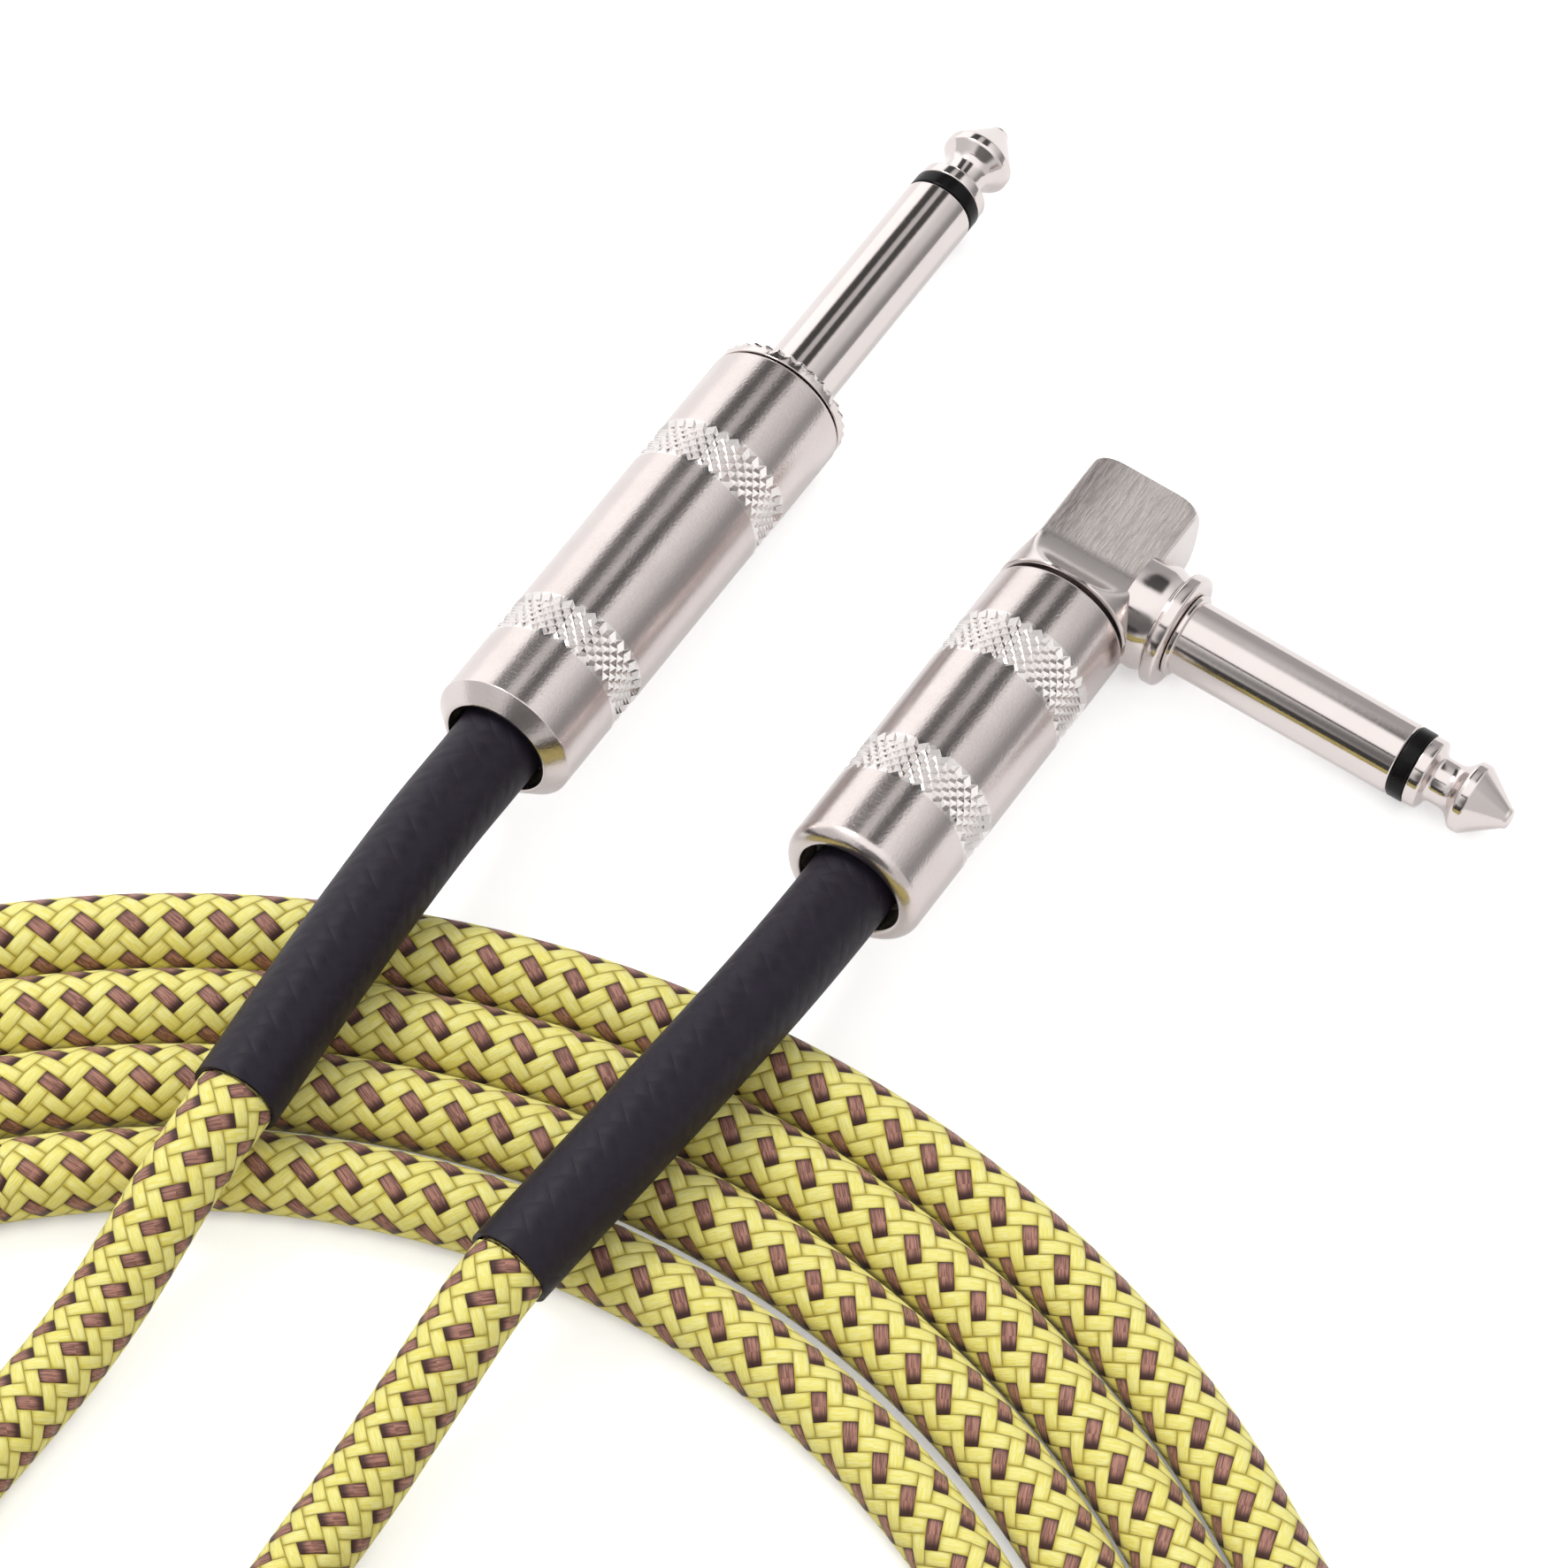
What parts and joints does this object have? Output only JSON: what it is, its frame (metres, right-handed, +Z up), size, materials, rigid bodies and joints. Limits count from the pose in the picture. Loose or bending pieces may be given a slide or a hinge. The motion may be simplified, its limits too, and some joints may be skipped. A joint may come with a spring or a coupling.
{
  "type": "instrument cable",
  "caption": "Instrument cable with a straight and a right-angle quarter-inch plug, screwed metal barrels, dark boots and a flecked yellow braided cord lying coiled.",
  "frame": {"origin": "on the floor, under the middle of the two plugs with their boots", "axes": "+Z up; the cord's coil lies towards -Y; the straight plug points to +X and +Y; the right-angle plug's sleeve points to +X and -Y"},
  "size_m": [0.161, 0.225, 0.015],
  "materials": {
    "plated_contact": "polished nickel plate on the tips and sleeves",
    "plated_barrel": "satin nickel plate with two knurled bands",
    "plated_head": "satin nickel plate with milled flats and fine scratches",
    "contact_insulator": "smooth black ring between sleeve and tip",
    "washer": "dark laminated washer",
    "terminal": "tinned brass strip",
    "core_insulation": "plain white wire insulation",
    "shield_copper": "twisted copper shield strands",
    "liner": "thin pale plastic tube",
    "boot": "dark satin shrink tube with a faint trace of the braid below",
    "braid": "yellow woven braid with brown oblong flecks in rows"
  },
  "bodies": {
    "cable": {"straight_tip": "plated_contact", "straight_tip_insulator": "contact_insulator", "straight_sleeve": "plated_contact", "straight_rear_washer": "washer", "straight_tip_lug": "terminal", "straight_clamp_lug": "terminal", "straight_core_wire": "core_insulation", "straight_shield_pigtail": "shield_copper", "straight_boot": "boot", "straight_cord_jacket": "braid", "angled_head": "plated_head", "angled_tip": "plated_contact", "angled_tip_insulator": "contact_insulator", "angled_sleeve": "plated_contact", "angled_rear_washer": "washer", "angled_tip_lug": "terminal", "angled_clamp_lug": "terminal", "angled_core_wire": "core_insulation", "angled_shield_pigtail": "shield_copper", "angled_boot": "boot", "angled_cord_jacket": "braid", "cord_straight_lead": "braid", "cord_coil": "braid", "cord_crossing": "braid", "cord_inner_coil": "braid", "cord_angled_lead": "braid"},
    "straight_tube": {"straight_insulating_tube": "liner"},
    "straight_barrel": {"straight_barrel": "plated_barrel"},
    "angled_tube": {"angled_insulating_tube": "liner"},
    "angled_barrel": {"angled_barrel": "plated_barrel"}
  },
  "joints": [
    {"name": "straight_barrel_slide", "type": "slide", "parent": "cable", "child": "straight_tube", "axis": [-0.5333, -0.8429, 0.0715], "range_m": [0, 0.00401]},
    {"name": "straight_barrel_turn", "type": "hinge", "parent": "straight_tube", "child": "straight_barrel", "pos_m": [-0.02917, -0.00716, 0.00904], "axis": [-0.5333, -0.8429, 0.0715], "range_deg": [0, 1800]},
    {"name": "angled_barrel_slide", "type": "slide", "parent": "cable", "child": "angled_tube", "axis": [-0.5311, -0.8446, 0.068], "range_m": [0, 0.00401]},
    {"name": "angled_barrel_turn", "type": "hinge", "parent": "angled_tube", "child": "angled_barrel", "pos_m": [0.01827, 0.01103, 0.006], "axis": [-0.5311, -0.8446, 0.068], "range_deg": [0, 1800]}
  ],
  "couplings": [
    {"joint": "straight_barrel_slide", "follows": "straight_barrel_turn", "m_per_rad": 0.00012732},
    {"joint": "angled_barrel_slide", "follows": "angled_barrel_turn", "m_per_rad": 0.00012732}
  ]
}
